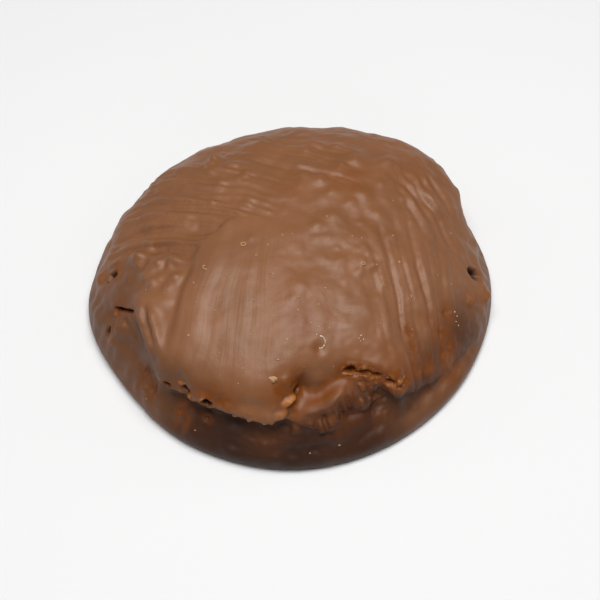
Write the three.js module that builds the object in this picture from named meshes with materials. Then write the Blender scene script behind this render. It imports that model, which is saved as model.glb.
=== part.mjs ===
// A round lebkuchen in a brushed coat of milk chocolate, as one solid: a low dome of dough with a
// craggy, overhanging edge, a shrunken side under it, and a foot where the coat has pooled and set.
// Units are millimetres. +Z is up, the front is -Y, and the origin is the middle of the underside.
// Azimuths are in degrees, counter-clockwise from +X seen from above, so the front is at -90.
import * as THREE from "three";

// Driving dimensions: the foot, the crown, the crag edge of the dome, and how far the side lies under it.
const FOOT_RADIUS = 42.3;
const FOOT_HEIGHT = 4.2;
const HEIGHT = 24.5;
const EDGE_RADIUS = 38.2;
const EDGE_HEIGHT = 12.6;
const UNDERCUT = 1.0;

// Crown of the dome: how full it is, how square its shoulder is, and how far the apex leans.
const CROWN_POWER = 2.4;
const SHOULDER_POWER = 0.55;
const APEX_LEAN = new THREE.Vector2(1.5, 2.0);

// Swells of the foot and of the dome, and lifts of the dome's edge: azimuth, half width in degrees,
// and change in millimetres. Where the edge lies low, the shoulder slants down to it.
const FOOT_SWELLS = [
  { at: -173, half: 24, by: 1.1 },
  { at: 152, half: 34, by: -1.3 },
  { at: 4, half: 30, by: 0.9 },
  { at: -142, half: 26, by: -0.6 },
  { at: -90, half: 24, by: 0.3 },
  { at: -48, half: 28, by: -0.3 },
];
const DOME_SWELLS = [
  { at: 110, half: 70, by: -1.2 },
  { at: 38, half: 26, by: 2.0 },
  { at: 6, half: 22, by: 2.8 },
  { at: -16, half: 22, by: 3.0 },
  { at: -38, half: 22, by: 1.6 },
  { at: -88, half: 70, by: -1.5 },
  { at: -176, half: 24, by: 3.5 },
  { at: 160, half: 24, by: 2.0 },
];
const DOME_LIFTS = [
  { at: 38, half: 50, by: 2.2, slant: 0 },
  { at: 6, half: 22, by: -6.8, slant: 0.2 },
  { at: -16, half: 22, by: -7.4, slant: 0.2 },
  { at: -38, half: 22, by: -6.8, slant: 0.15 },
  { at: 112, half: 66, by: -4.2, slant: 0 },
  { at: -176, half: 24, by: -7.2, slant: 0.2 },
  { at: 160, half: 24, by: -5.0, slant: 0.1 },
];

// Bites and lobes of the crag edge, with a reach and a lift, which fade out across the dome's rim.
const BITE_FROM = 0.74;
const EDGE_BITES = [
  { at: -161, half: 7, by: -1.6, lift: 0.4 },
  { at: -149, half: 14, by: -2.4, lift: 0.8 },
  { at: -131, half: 9, by: 0.6, lift: 0 },
  { at: -99, half: 12, by: 1.0, lift: 0 },
  { at: -90, half: 6, by: -0.6, lift: 0.2 },
  { at: -81, half: 13, by: 0.8, lift: -2.8 },
  { at: -66, half: 11, by: -3.8, lift: 1.6 },
  { at: -3, half: 15, by: 0.8, lift: 0 },
];

// How much further than the undercut the side has shrunk back. It slopes out like an apron on the left.
const SIDE_SHRINKS = [
  { at: -98, half: 66, by: 0.5 },
  { at: -155, half: 25, by: -3.6 },
  { at: -8, half: 35, by: -1.8 },
  { at: 178, half: 34, by: -2.0 },
  { at: 100, half: 75, by: -2.0 },
];

// The side's turning points. A drop is a share of the way from the edge down to the foot's shoulder;
// in and out are shares of the way from the edge to the wall, and from the wall to that shoulder.
const LIP_TURNS = [
  { drop: 0, in: 0 },
  { drop: 0.12, in: 0.35 },
  { drop: 0.25, in: 0.85 },
  { drop: 0.38, in: 1 },
];
const FLARE_TURNS = [
  { drop: 0.54, out: 0.36 },
  { drop: 0.77, out: 0.74 },
];
// The foot's turning points: inset in millimetres, and share of the foot's height.
const FOOT_TURNS = [
  { inset: 0.7, up: 0.97 },
  { inset: 0.15, up: 0.68 },
  { inset: 0, up: 0.42 },
  { inset: 0.3, up: 0.14 },
  { inset: 1.1, up: 0 },
];
// The side bulges out to the foot in front, and on the right it leaves a crease above the foot.
const FOOT_CREASE = { at: -42, half: 34, share: 0.4 };

// Runs of chocolate down the right of the side: middle, half width, spacing in degrees and depth.
const RUNS = { at: -18, half: 42, spacing: 9.5, depth: 0.35 };

// The furrow between the front lobe and the dome, in plan: its ends, half width and depth.
const FURROW = {
  from: new THREE.Vector2(0.5, -35.5),
  to: new THREE.Vector2(11.5, -29),
  half: 3.6,
  depth: 2.1,
};

// Brush strokes in the coat, in plan: middle, heading, length and width, how the bristle lines spread
// and bend along the stroke, their spacing and depth, and the coat's lift over what lies under it.
const STROKES = [
  {
    middle: new THREE.Vector2(-21, 7), heading: -17, length: 36, width: 30,
    spread: 0, bend: -0.003, spacing: 4.0, depth: 0.26, lift: 0.1,
  },
  {
    middle: new THREE.Vector2(-8, -20), heading: -95, length: 48, width: 28,
    spread: 0.016, bend: 0, spacing: 5.2, depth: 0.2, lift: 0.5,
  },
  {
    middle: new THREE.Vector2(25, -13), heading: -74, length: 34, width: 22,
    spread: -0.018, bend: 0.003, spacing: 4.0, depth: 0.34, lift: 0.1,
  },
  {
    middle: new THREE.Vector2(30, 11), heading: -66, length: 26, width: 16,
    spread: 0.004, bend: 0.004, spacing: 4.6, depth: 0.34, lift: 0.1,
  },
  {
    middle: new THREE.Vector2(2, 21), heading: -22, length: 30, width: 16,
    spread: 0.004, bend: 0.004, spacing: 4.6, depth: 0.24, lift: 0.1,
  },
];
const STROKE_BORDER = 3;
const STROKE_ENDS = 10;

// Nuts under the coat show as soft lumps.
const LUMP_COUNT = 46;
const LUMP_RADIUS = [2.0, 4.2];
const LUMP_HEIGHT = [0.1, 0.45];
const LUMP_FIELD = 31;
const RELIEF_RIM = 0.1;

// The crag edge crumbles in waves of these counts, higher in front than behind.
const CRUMBLE_WAVES = [13, 17, 22, 27, 32, 37];
const CRUMBLE = 0.19;
const CRUMBLE_FROM = 0.9;
const CRUMBLE_BEHIND = 0.25;
const CRUMBLE_FRONT = { at: -105, half: 110 };
const SEED = 1912;

// Mesh density: stations from the apex to the edge, from the edge to the underside, and round a ring.
const DOME_STATIONS = 31;
const SIDE_STATIONS = 15;
const RING_SEGMENTS = 136;
const RING_STEPS = [
  { within: 0.13, share: 8 },
  { within: 0.28, share: 4 },
  { within: 0.56, share: 2 },
];

const COCOA = new THREE.MeshStandardMaterial({ color: 0x8f6245, roughness: 0.42, metalness: 0 });

const TURN = 2 * Math.PI;
const { clamp, degToRad, euclideanModulo } = THREE.MathUtils;

// Park-Miller draws between 0 and 1, so that every build has the same lumps and crumble.
const DRAW_FACTOR = 16807;
const DRAW_MODULUS = 2147483647;
function drawsFrom(seed) {
  let state = seed;
  return () => {
    state = (state * DRAW_FACTOR) % DRAW_MODULUS;
    return state / DRAW_MODULUS;
  };
}

const smooth = (t) => t * t * (3 - 2 * t);
const ramp = (value, from, to) => smooth(clamp((value - from) / (to - from), 0, 1));
const between = (low, high, share) => low + (high - low) * share;
const fade = (distance, half) => smooth(clamp(1 - Math.abs(distance) / half, 0, 1));
const angleFrom = (azimuth, at) => euclideanModulo(azimuth - at + 180, 360) - 180;
const sumAt = (swells, azimuth, key = "by") =>
  swells.reduce((sum, swell) => sum + swell[key] * fade(angleFrom(azimuth, swell.at), swell.half), 0);

const draw = drawsFrom(SEED);
const crumbleWaves = CRUMBLE_WAVES.map((count) => ({ count, phase: draw() * TURN }));
const lumps = Array.from({ length: LUMP_COUNT }, () => {
  const radius = LUMP_FIELD * Math.sqrt(draw());
  const azimuth = draw() * TURN;
  return {
    middle: new THREE.Vector2(radius * Math.cos(azimuth), radius * Math.sin(azimuth)),
    size: between(...LUMP_RADIUS, draw()),
    height: between(...LUMP_HEIGHT, draw()),
  };
});

// Waves of the crag edge in millimetres. A shift keeps those that go out and those that go up apart.
function crumble(azimuth, shift) {
  const front = fade(angleFrom(azimuth, CRUMBLE_FRONT.at), CRUMBLE_FRONT.half);
  const height = CRUMBLE * between(CRUMBLE_BEHIND, 1, front);
  const angle = degToRad(azimuth) + shift;
  return crumbleWaves.reduce((sum, { count, phase }) => sum + height * Math.cos(count * angle + phase), 0);
}

// Height of one brush stroke over the dome at a place in plan: a thin layer with bristle lines in it.
function strokeHeight(stroke, place) {
  const offset = place.clone().sub(stroke.middle);
  offset.rotateAround(new THREE.Vector2(), -degToRad(stroke.heading));
  const along = offset.x;
  const across = (offset.y - stroke.bend * along ** 2) / (1 + stroke.spread * along);
  const inside = (distance, size, border) => 1 - ramp(Math.abs(distance), size / 2 - border, size / 2);
  const mask = inside(along, stroke.length, STROKE_ENDS) * inside(across, stroke.width, STROKE_BORDER);
  return mask * (stroke.lift + stroke.depth * Math.sin((TURN * across) / stroke.spacing));
}

// Height of a soft lump at a place in plan.
function lumpHeight(lump, place) {
  return lump.height * Math.exp((-2 * place.distanceToSquared(lump.middle)) / lump.size ** 2);
}

// Depth of the furrow at a place in plan, by the distance from its middle line.
function furrowDepth(place) {
  const line = FURROW.to.clone().sub(FURROW.from);
  const offset = place.clone().sub(FURROW.from);
  const share = clamp(offset.dot(line) / line.lengthSq(), 0, 1);
  return FURROW.depth * fade(offset.distanceTo(line.multiplyScalar(share)), FURROW.half);
}

// Low relief of the coat at a place in plan: lumps of nut and brush strokes.
function coatRelief(place) {
  const bumps = lumps.reduce((sum, lump) => sum + lumpHeight(lump, place), 0);
  return bumps + STROKES.reduce((sum, stroke) => sum + strokeHeight(stroke, place), 0);
}

// The meridian at an azimuth: the dome as a formula, and the side as a curve through its turning points.
function meridian(azimuth) {
  const domeR = EDGE_RADIUS + sumAt(DOME_SWELLS, azimuth);
  const domeZ = EDGE_HEIGHT + sumAt(DOME_LIFTS, azimuth);
  const bite = sumAt(EDGE_BITES, azimuth);
  const lift = sumAt(EDGE_BITES, azimuth, "lift");
  const crumbleOut = crumble(azimuth, 0);
  const crumbleUp = crumble(azimuth, 1);
  const shoulder = SHOULDER_POWER + sumAt(DOME_LIFTS, azimuth, "slant");
  const crown = (u) => domeZ + (HEIGHT - domeZ) * (1 - u ** CROWN_POWER) ** shoulder;
  const dome = (u) => {
    const bitten = ramp(u, BITE_FROM, 1);
    const crumbled = ramp(u, CRUMBLE_FROM, 1);
    const r = domeR * u + bite * bitten + crumbleOut * crumbled;
    return new THREE.Vector2(r, crown(u) + lift * bitten + crumbleUp * crumbled);
  };

  const edge = dome(1);
  const footR = FOOT_RADIUS + sumAt(FOOT_SWELLS, azimuth);
  const runMask = fade(angleFrom(azimuth, RUNS.at), RUNS.half);
  const runs = RUNS.depth * runMask * Math.sin((TURN * azimuth) / RUNS.spacing);
  const shoulderR = footR - FOOT_TURNS[0].inset;
  const wallR = Math.min(edge.x - UNDERCUT - sumAt(SIDE_SHRINKS, azimuth) + runs, shoulderR);
  const bulge = 1 - FOOT_CREASE.share * fade(angleFrom(azimuth, FOOT_CREASE.at), FOOT_CREASE.half);
  const heightAt = (drop) => between(edge.y, FOOT_HEIGHT, drop);
  const side = new THREE.SplineCurve([
    ...LIP_TURNS.map((t) => new THREE.Vector2(between(edge.x, wallR, t.in), heightAt(t.drop))),
    ...FLARE_TURNS.map((t) => new THREE.Vector2(between(wallR, shoulderR, t.out * bulge), heightAt(t.drop))),
    ...FOOT_TURNS.map((t) => new THREE.Vector2(footR - t.inset, FOOT_HEIGHT * t.up)),
  ]);
  return { dome, side: (t) => side.getPoint(t) };
}

// A point of the solid: u runs over the dome from 0 to 1, and on down the side from 1 to 2.
function surfacePoint(azimuth, u) {
  const line = meridian(azimuth);
  const { x: r, y: z } = u <= 1 ? line.dome(u) : line.side(u - 1);
  const a = degToRad(azimuth);
  const onDome = Math.max(0, 1 - u);
  const place = new THREE.Vector2(Math.cos(a), Math.sin(a)).multiplyScalar(r);
  place.addScaledVector(APEX_LEAN, onDome);
  const relief = coatRelief(place) * ramp(onDome, 0, RELIEF_RIM);
  const furrow = furrowDepth(place) * (1 - ramp(u, 1, 1 + LIP_TURNS[2].drop));
  return new THREE.Vector3(place.x, place.y, z + relief - furrow);
}

// Joins two rings of points, where the outer one has as many or twice as many.
function joinRings(faces, inner, outer) {
  const steps = outer.length / inner.length;
  inner.forEach((from, i) => {
    const to = inner[(i + 1) % inner.length];
    const rim = Array.from({ length: steps + 1 }, (_, k) => outer[(i * steps + k) % outer.length]);
    rim.slice(0, -1).forEach((p, k) => faces.push(from, p, rim[k + 1]));
    faces.push(from, rim[steps], to);
  });
}

function lebkuchenGeometry() {
  const points = [];
  const faces = [];
  const addPoint = (p) => points.push(p.x, p.y, p.z) / 3 - 1;
  const addRing = (count, u) =>
    Array.from({ length: count }, (_, i) => addPoint(surfacePoint((360 * i) / count, u)));

  // Stations lie closer together towards the edge, where the meridian turns down.
  const domeShare = (i) => Math.sin((TURN / 4) * ((i + 1) / DOME_STATIONS));
  const domeStations = Array.from({ length: DOME_STATIONS }, (_, i) => domeShare(i));
  const sideStations = Array.from({ length: SIDE_STATIONS }, (_, i) => 1 + (i + 1) / SIDE_STATIONS);
  const rings = [...domeStations, ...sideStations].map((u) => {
    const step = RING_STEPS.find(({ within }) => u < within);
    return addRing(RING_SEGMENTS / (step ? step.share : 1), u);
  });

  const apex = addPoint(surfacePoint(0, 0));
  rings[0].forEach((p, i) => faces.push(apex, p, rings[0][(i + 1) % rings[0].length]));
  rings.slice(1).forEach((outer, i) => joinRings(faces, rings[i], outer));
  const sole = rings[rings.length - 1];
  const middle = addPoint(new THREE.Vector3(0, 0, 0));
  sole.forEach((p, i) => faces.push(middle, sole[(i + 1) % sole.length], p));

  const geometry = new THREE.BufferGeometry();
  geometry.setAttribute("position", new THREE.Float32BufferAttribute(points, 3));
  geometry.setIndex(faces);
  geometry.computeBoundingBox();
  const centre = geometry.boundingBox.getCenter(new THREE.Vector3());
  geometry.translate(-centre.x, -centre.y, 0);
  geometry.computeVertexNormals();
  return geometry;
}

const lebkuchen = new THREE.Mesh(lebkuchenGeometry(), COCOA);
lebkuchen.name = "lebkuchen";

const part = new THREE.Group();
part.add(lebkuchen);

export default part;
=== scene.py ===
"""Dresses the lebkuchen: its brushed coat of milk chocolate, what lies on it, and a plain stage."""
import math
from typing import NamedTuple

import bmesh
import bpy
import numpy as np
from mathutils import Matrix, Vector, noise
from mathutils.bvhtree import BVHTree


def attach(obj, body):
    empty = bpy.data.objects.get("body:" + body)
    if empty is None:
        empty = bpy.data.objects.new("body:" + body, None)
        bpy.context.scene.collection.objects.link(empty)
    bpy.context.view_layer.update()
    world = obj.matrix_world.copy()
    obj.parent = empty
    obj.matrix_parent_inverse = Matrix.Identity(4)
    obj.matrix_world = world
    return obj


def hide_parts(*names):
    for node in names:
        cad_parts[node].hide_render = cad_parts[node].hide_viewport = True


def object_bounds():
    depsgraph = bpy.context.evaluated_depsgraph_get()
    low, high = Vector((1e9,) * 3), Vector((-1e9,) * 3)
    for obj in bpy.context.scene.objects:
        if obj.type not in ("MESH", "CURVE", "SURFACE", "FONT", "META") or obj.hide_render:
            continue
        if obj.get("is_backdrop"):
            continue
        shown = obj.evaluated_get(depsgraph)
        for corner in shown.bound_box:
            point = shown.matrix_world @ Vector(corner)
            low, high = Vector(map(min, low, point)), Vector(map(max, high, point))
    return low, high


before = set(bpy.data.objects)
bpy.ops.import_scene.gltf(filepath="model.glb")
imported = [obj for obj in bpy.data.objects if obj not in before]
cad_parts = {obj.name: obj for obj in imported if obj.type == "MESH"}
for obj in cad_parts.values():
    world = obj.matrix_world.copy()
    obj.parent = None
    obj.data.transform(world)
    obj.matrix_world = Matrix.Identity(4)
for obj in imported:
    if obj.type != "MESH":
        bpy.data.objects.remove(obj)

bl_info = {
    "name": "Lebkuchen looks",
    "version": (1, 0, 0),
    "blender": (4, 5, 0),
    "location": "View3D > Sidebar > Lebkuchen",
    "description": "Coats the lebkuchen in brushed milk chocolate, strews its crumbs and sets the stage",
    "category": "Object",
}

CAD_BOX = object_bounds()
BODY = "root"
NODE = "lebkuchen"
COAT = "lebkuchen_coat"
MM = 0.001
SEED = 1912

# Everything about the coat's relief below is in millimetres and degrees, in the solid's frame.
# Azimuths run counter-clockwise from +X seen from above, so the front is at -90.


class Sector(NamedTuple):
    """A stretch of the side about an azimuth, which fades out between two turns away from it."""

    azimuth: float
    near: float
    far: float


class Wave(NamedTuple):
    """Smooth noise on the coat: its height, the size of its waves and the seed that it is drawn from."""

    rise: float
    size: float
    seed: int


class Groove(NamedTuple):
    """A deep line that a bristle left: how far across its stroke it runs, its depth and its half width."""

    across: float
    depth: float
    half: float


class Stroke(NamedTuple):
    """A sweep of the brush over the dome, in plan, with its deep lines and the heights of its streaks.

    Ends are the lengths over which it fades in and out, and borders the widths to its right and left.
    """

    middle: tuple
    heading: float
    length: float
    width: float
    spread: float
    bend: float
    ends: tuple
    borders: tuple
    lift: float
    streaks: tuple
    grooves: tuple


LEFT_STROKE = Stroke(
    (-21, 7), -17, 40, 30, 0, -0.003, (6, 9), (3, 4), 0.1, (0.8, 0.5),
    (
        Groove(11.5, 0.3, 0.45), Groove(8.0, 0.45, 0.45), Groove(5.8, 0.3, 0.4), Groove(4.2, 0.45, 0.4),
        Groove(2.2, 0.35, 0.4), Groove(0.2, 0.4, 0.4), Groove(-2.4, 0.3, 0.4), Groove(-5.0, 0.6, 0.5),
        Groove(-7.0, 0.35, 0.4), Groove(-9.0, 0.45, 0.45),
    ),
)
FRONT_STROKE = Stroke(
    (-8.3, -19), -95, 48, 30, 0.016, 0, (4, 0), (2.4, 12), 0.85, (0.12, 0.04),
    (Groove(-7.0, 0.12, 0.9), Groove(-2.0, 0.1, 1.0), Groove(1.5, 0.1, 1.0)),
)
RIGHT_STROKE = Stroke(
    (25, -13), -79, 46, 26, -0.008, 0.001, (18, 0), (7, 3), 0.1, (0.42, 0.22),
    (
        Groove(-10.2, 0.2, 0.6), Groove(-6.4, 0.3, 0.55), Groove(-3.6, 0.45, 0.55), Groove(-0.8, 0.4, 0.55),
        Groove(2.0, 0.5, 0.55), Groove(4.4, 0.4, 0.55), Groove(6.6, 0.4, 0.55), Groove(9.0, 0.35, 0.55),
    ),
)
UPPER_STROKE = Stroke(
    (30, 11), -62, 30, 18, 0, 0.002, (6, 8), (4, 4), 0.1, (0.42, 0.22),
    (Groove(-6.0, 0.4, 0.7), Groove(-1.6, 0.5, 0.6), Groove(2.2, 0.45, 0.6), Groove(5.0, 0.3, 0.6)),
)
BACK_STROKE = Stroke(
    (2, 21), -22, 32, 16, 0.004, 0.004, (8, 8), (4, 4), 0.1, (0.6, 0.45),
    (Groove(-5.0, 0.25, 0.5), Groove(-1.5, 0.35, 0.5), Groove(2.5, 0.35, 0.5)),
)
STROKES = (LEFT_STROKE, FRONT_STROKE, RIGHT_STROKE, UPPER_STROKE, BACK_STROKE)

# A stroke starts round. Its lines wander over about this length, and the stroke itself with them.
STROKE_ROUND = 11
LINE_WANDER = 9
STROKE_WANDER = Wave(0.9, LINE_WANDER, 40)

# A deep line wanders too. Its depth swings about a mean share within limits, so it fades and comes back.
GROOVE_WANDER = 0.5
GROOVE_MEAN = 0.85
GROOVE_SWING = 0.9
GROOVE_LIMITS = (0.1, 1.4)
GROOVE_SEED = 1

# Distances in the noise that keep strokes, deep lines and bristle lines apart from each other.
STROKE_APART = 5.0
GROOVE_APART = 9
BRUSH_APART = 50.0

# Length and width of the waves that make a stroke's broad and fine streaks.
BROAD_STREAK = (13, 2.2)
FINE_STREAK = (9, 0.95)

# The coat is thickest along a stroke's right border, and thins out to this share over this band beside it.
RIM_SHARE = 0.25
RIM_BAND = (4, 12)

# Nuts under the coat that show as soft lumps: place in plan, radius and height, and how steep they are.
LUMPS = (
    ((5, 24.5), 2.4, 0.8),
    ((14, 19.5), 2.8, 0.9),
    ((20.5, 19), 2.6, 0.8),
    ((6, 13), 2.6, 0.8),
    ((8.5, 9.5), 2.0, 0.7),
    ((14.5, 9.5), 2.4, 0.6),
    ((9, 3), 2.8, 0.8),
    ((5.5, 0.5), 1.8, 0.6),
    ((10, -7.5), 2.4, 0.6),
    ((14.5, -7.5), 2.4, 0.7),
    ((21, 0), 2.0, 0.5),
    ((1.5, -13.8), 3.2, 0.3),
    ((-6, 25.5), 1.8, 0.6),
    ((-9.5, 17.5), 1.6, 0.6),
    ((-16, 21.5), 1.3, 0.7),
    ((-18, 18.5), 1.3, 0.6),
    ((-14.5, 12.5), 1.6, 0.5),
    ((-29.8, -2), 1.4, 0.7),
    ((-22.8, -10.5), 1.8, 0.7),
    ((5.9, -26.2), 1.6, -0.6),
)
LUMP_STEEPNESS = 2


class Cluster(NamedTuple):
    """Small pieces of nut under the coat, strewn at random about a middle in plan.

    Radius and rise hold the least and the most of their radii and heights.
    """

    middle: tuple
    spread: float
    count: int
    radius: tuple
    rise: tuple


CLUSTERS = (
    Cluster((-31.5, -3.5), 2.3, 18, (1.0, 1.7), (0.35, 0.7)),
    Cluster((-26.8, -8.4), 2.3, 16, (1.0, 1.7), (0.35, 0.7)),
    Cluster((8, -5), 6.0, 14, (0.9, 1.6), (0.1, 0.25)),
    Cluster((-15, 18), 4.0, 14, (0.8, 1.5), (0.3, 0.6)),
    Cluster((9, 14), 9.0, 26, (1.0, 2.2), (0.2, 0.5)),
    Cluster((13, -8), 3.0, 8, (0.8, 1.3), (0.2, 0.4)),
)


class Ridge(NamedTuple):
    """A raised line of the coat through places in plan, with its half width and height.

    With a rise below 0 it is a furrow.
    """

    places: tuple
    half: float
    rise: float


RIDGES = (
    Ridge(((-33.0, -10.6), (-28, -13.9), (-22.5, -16.0)), 1.3, 0.7),
    Ridge(((-30.4, -13.4), (-28.3, -19.3), (-26.0, -26.4)), 0.9, 1.2),
    Ridge(((-28.0, -14.0), (-26.0, -20.1), (-24.3, -27.0)), 0.9, 1.1),
    Ridge(((-29.2, -14.0), (-27.2, -20.0), (-25.6, -25.0)), 0.6, -0.8),
    Ridge(((27.5, 14.3), (32, 7.8)), 1.2, 0.8),
    Ridge(((21, 16.5), (29.5, 7.5)), 0.9, -0.6),
    Ridge(((22.5, 19), (26, 13)), 0.7, -0.4),
    Ridge(((-0.5, -32.4), (2.7, -32.3), (6.0, -30.8)), 1.7, -2.2),
    Ridge(((-2.0, -37.2), (6.8, -35.0), (13.6, -30.6)), 1.5, 1.3),
)
RIDGE_TAPER = 4.0

# The last ridge is the back of the front lobe.
LOBE_RIDGE = RIDGES[-1].places

# The valley between the front lobe and the dome: its places in plan, half width and depth. Around it the
# crags are calm, and its bottom is tinted towards the crag colour, partly bare dough and partly painted
# shade, over these half widths.
VALLEY = ((1.2, -35.0), (4.8, -33.4), (9.8, -30.2))
VALLEY_HALF = 2.3
VALLEY_DEPTH = 0.9
VALLEY_CALM = 4.5
VALLEY_STAIN_AND_SHADE = 1.9

# The edge of the flap on the left, in plan: its turning points, the step at it, how far the step fades out
# and how soft it is.
FLAP = ((-33, -13), (-30.7, -15.2), (-28.7, -19.7), (-27.2, -24.3), (-25.2, -28.7))
FLAP_STEP = 1.6
FLAP_FADE = 3
FLAP_SOFT = 1.5


class Dab(NamedTuple):
    """A pit in the side or, with a depth below 0, a nub: its place, half width, half height and depth.

    Rust and nut are how strongly bare dough and bare nut show in it, from 0 to 1.
    """

    azimuth: float
    height: float
    wide: float
    tall: float
    depth: float
    rust: float
    nut: float


# Bulges of the coat along the front edge and around its lobe. They come first, and are evened out.
BULGES = (
    Dab(-129, 12.5, 4.0, 2.0, -0.9, 0, 0),
    Dab(-117, 12.6, 4.5, 2.0, -1.1, 0, 0),
    Dab(-104, 12.3, 5.0, 2.0, -1.3, 0, 0),
    Dab(-96, 12.4, 3.0, 1.8, -0.9, 0, 0),
    Dab(-86, 9.0, 4.2, 2.6, -2.0, 0.2, 0),
    Dab(-86, 6.5, 4.2, 2.6, -1.2, 0, 0),
    Dab(-78, 9.0, 4.2, 2.6, -2.2, 0.2, 0),
    Dab(-78, 6.5, 4.2, 2.6, -1.6, 0, 0),
    Dab(-69.5, 10.8, 3.6, 3.0, -3.2, 0.2, 0),
    Dab(-70, 7.2, 3.6, 2.6, -1.6, 0, 0),
    Dab(-64, 10.5, 2.8, 2.4, -1.2, 0, 0),
    Dab(-67.5, 11.4, 3.2, 2.8, -1.8, 0, 0),
)

LEFT_CRAGS = (
    Dab(-178, 8.6, 1.6, 1.5, -0.6, 0.5, 0.1),
    Dab(-175.4, 12.3, 1.1, 1.7, 3.2, 0.8, 0),
    Dab(-161, 11.4, 0.8, 0.8, -0.5, 0.9, 0.4),
    Dab(-158.8, 8.6, 0.6, 1.4, 2.0, 1.0, 0),
    Dab(-155.5, 7.8, 0.8, 0.8, -0.4, 0.8, 0.3),
    Dab(-156, 11.5, 2.2, 1.8, -1.0, 0, 0),
    Dab(-140, 8.5, 0.8, 1.2, 0.5, 0.6, 0),
    Dab(-135, 7.0, 0.9, 1.3, 0.5, 0.7, 0),
    Dab(-138, 6.0, 0.9, 0.9, -0.4, 0.5, 0),
)
FRONT_CRAGS = (
    Dab(-129, 13, 0.9, 0.6, 1.9, 0.9, 0),
    Dab(-123, 13.6, 1.1, 0.7, 2.2, 1.0, 0),
    Dab(-125, 14.4, 0.8, 0.6, -0.4, 0.6, 0.6),
    Dab(-121.4, 13.2, 0.7, 0.6, -0.4, 0.6, 0.7),
    Dab(-115, 13.3, 1.1, 0.8, 2.4, 1.0, 0),
    Dab(-116.8, 13.6, 0.6, 0.6, -0.5, 0.7, 0.6),
    Dab(-113, 14.8, 3.0, 1.5, 0.1, 1.0, 0),
    Dab(-109, 12, 1.0, 0.6, 0.8, 0.6, 0),
    Dab(-104, 12, 1.0, 0.6, 0.8, 0.7, 0),
    Dab(-106.5, 11.9, 0.8, 0.5, -0.3, 0.5, 0.4),
    Dab(-101.8, 11.9, 0.7, 0.5, -0.3, 0.5, 0.5),
    Dab(-99, 11.8, 0.8, 0.5, 0.6, 0.8, 0),
    Dab(-97.4, 11.9, 0.6, 0.5, -0.3, 0.5, 0.6),
    Dab(-95.2, 12.0, 0.7, 0.5, -0.3, 0.5, 0.4),
    Dab(-87.6, 15, 0.9, 0.7, 2.6, 1.0, 0),
    # The next dab is a shallow stain behind the nut: dough colour, partly painted shade at the valley's end.
    Dab(-91.5, 17.2, 2.8, 1.8, 0.3, 1.0, 0),
    Dab(-97, 7.6, 2.6, 2.2, 0.4, 0.75, 0),
    Dab(-124, 7.2, 0.6, 2.0, 0.5, 0.9, 0),
    Dab(-121, 6.2, 0.6, 1.6, 0.4, 0.7, 0),
    Dab(-115.5, 7.7, 0.8, 0.6, 0.6, 0.7, 0),
    Dab(-92.4, 13.1, 1.7, 1.3, -1.0, 0, 0.3),
    Dab(-90.3, 14.7, 1.8, 0.9, -1.2, 0.3, 1.0),
    Dab(-88, 9.2, 1.1, 1.4, -0.6, 0.4, 0.1),
    Dab(-82.6, 10.6, 0.7, 1.8, 0.7, 0.3, 0),
    Dab(-79.4, 11.2, 0.7, 2.2, 0.8, 0.3, 0),
    Dab(-76.5, 11.6, 0.7, 2.6, 0.5, 0.5, 0),
    Dab(-73.8, 11.8, 0.7, 2.8, 0.7, 0.5, 0),
    Dab(-71.1, 11.9, 0.7, 2.8, 0.7, 0.5, 0),
    Dab(-68.4, 12, 0.7, 2.6, 0.6, 0.5, 0),
)
RIGHT_CRAGS = (
    Dab(-67.5, 16.8, 1.2, 0.7, 1.6, 1.0, 0),
    Dab(-63, 16.6, 1.2, 0.6, 0.8, 1.0, 0),
    Dab(-60, 15.8, 1.0, 0.7, 1.3, 1.0, 0),
    Dab(-57, 14.6, 1.1, 0.6, 0.7, 1.0, 0),
    Dab(-54, 13.6, 1.3, 0.6, 0.8, 1.0, 0),
    Dab(-23, 13.5, 1.3, 1.6, 0.3, 0.8, 0),
    Dab(-30.5, 11.8, 1.6, 3.2, 0.3, 0.9, 0),
    Dab(-33.8, 8.0, 1.8, 2.8, 0.35, 1.0, 0.1),
    Dab(-40.3, 10.8, 1.2, 1.3, 0.4, 0.9, 0),
    Dab(-44.6, 12.1, 1.3, 1.3, 0.4, 0.9, 0),
    Dab(-42.6, 15.1, 1.0, 1.2, 0.3, 0.8, 0),
    Dab(-39.7, 16.5, 0.9, 1.2, 0.3, 0.8, 0),
    Dab(-2.3, 10.8, 1.2, 1.8, 2.3, 0.5, 0),
    Dab(-6.8, 7.8, 2.0, 1.4, -0.8, 0.6, 0.2),
    Dab(-11.4, 10.2, 2.0, 1.4, -0.7, 0.5, 0.1),
    Dab(-61, 9.6, 2.0, 1.7, -0.8, 0.4, 0),
    Dab(-62, 6.8, 2.0, 1.7, -0.7, 0.3, 0),
)
CRAGS = (*LEFT_CRAGS, *FRONT_CRAGS, *RIGHT_CRAGS)

# A dab's outline is ragged, a pit's more than a nub's. Around it, a halo has this share of the dab's rust.
CRAG_RAGGED = (Wave(0.5, 0.9, 21), Wave(0.4, 2.0, 22))
PIT_RAGGED = 0.5
NUB_RAGGED = 0.4
PIT_HALO = 0.75
NUB_HALO = 0.25

# Where a dab's depth and its tints fade out, by its own half widths.
DAB_FADE = (0.1, 1.3)
DAB_CORE = (0.6, 1.4)
DAB_HALO = (0.6, 3.0)
DAB_NUT = (0.7, 1.1)
DAB_DARK = (0.6, 1.25)

# How far a dab reaches at most, and how far around it the coat gives its direction, by the larger of its
# half widths.
DAB_LIMIT = (1.4, 2.0)
DAB_AROUND = 1.2

# Pits shallower than the first depth have no painted shade at their bottom, those from the second on a
# fully dark one.
DARK_DEPTH = (1.2, 2.4)


class Crevice(NamedTuple):
    """A crack in the side: the azimuths and heights it runs through, its half width and depth.

    Crumble is how ragged its borders are, from 0 to 1.
    """

    places: tuple
    half: float
    depth: float
    rust: float
    crumble: float


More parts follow.
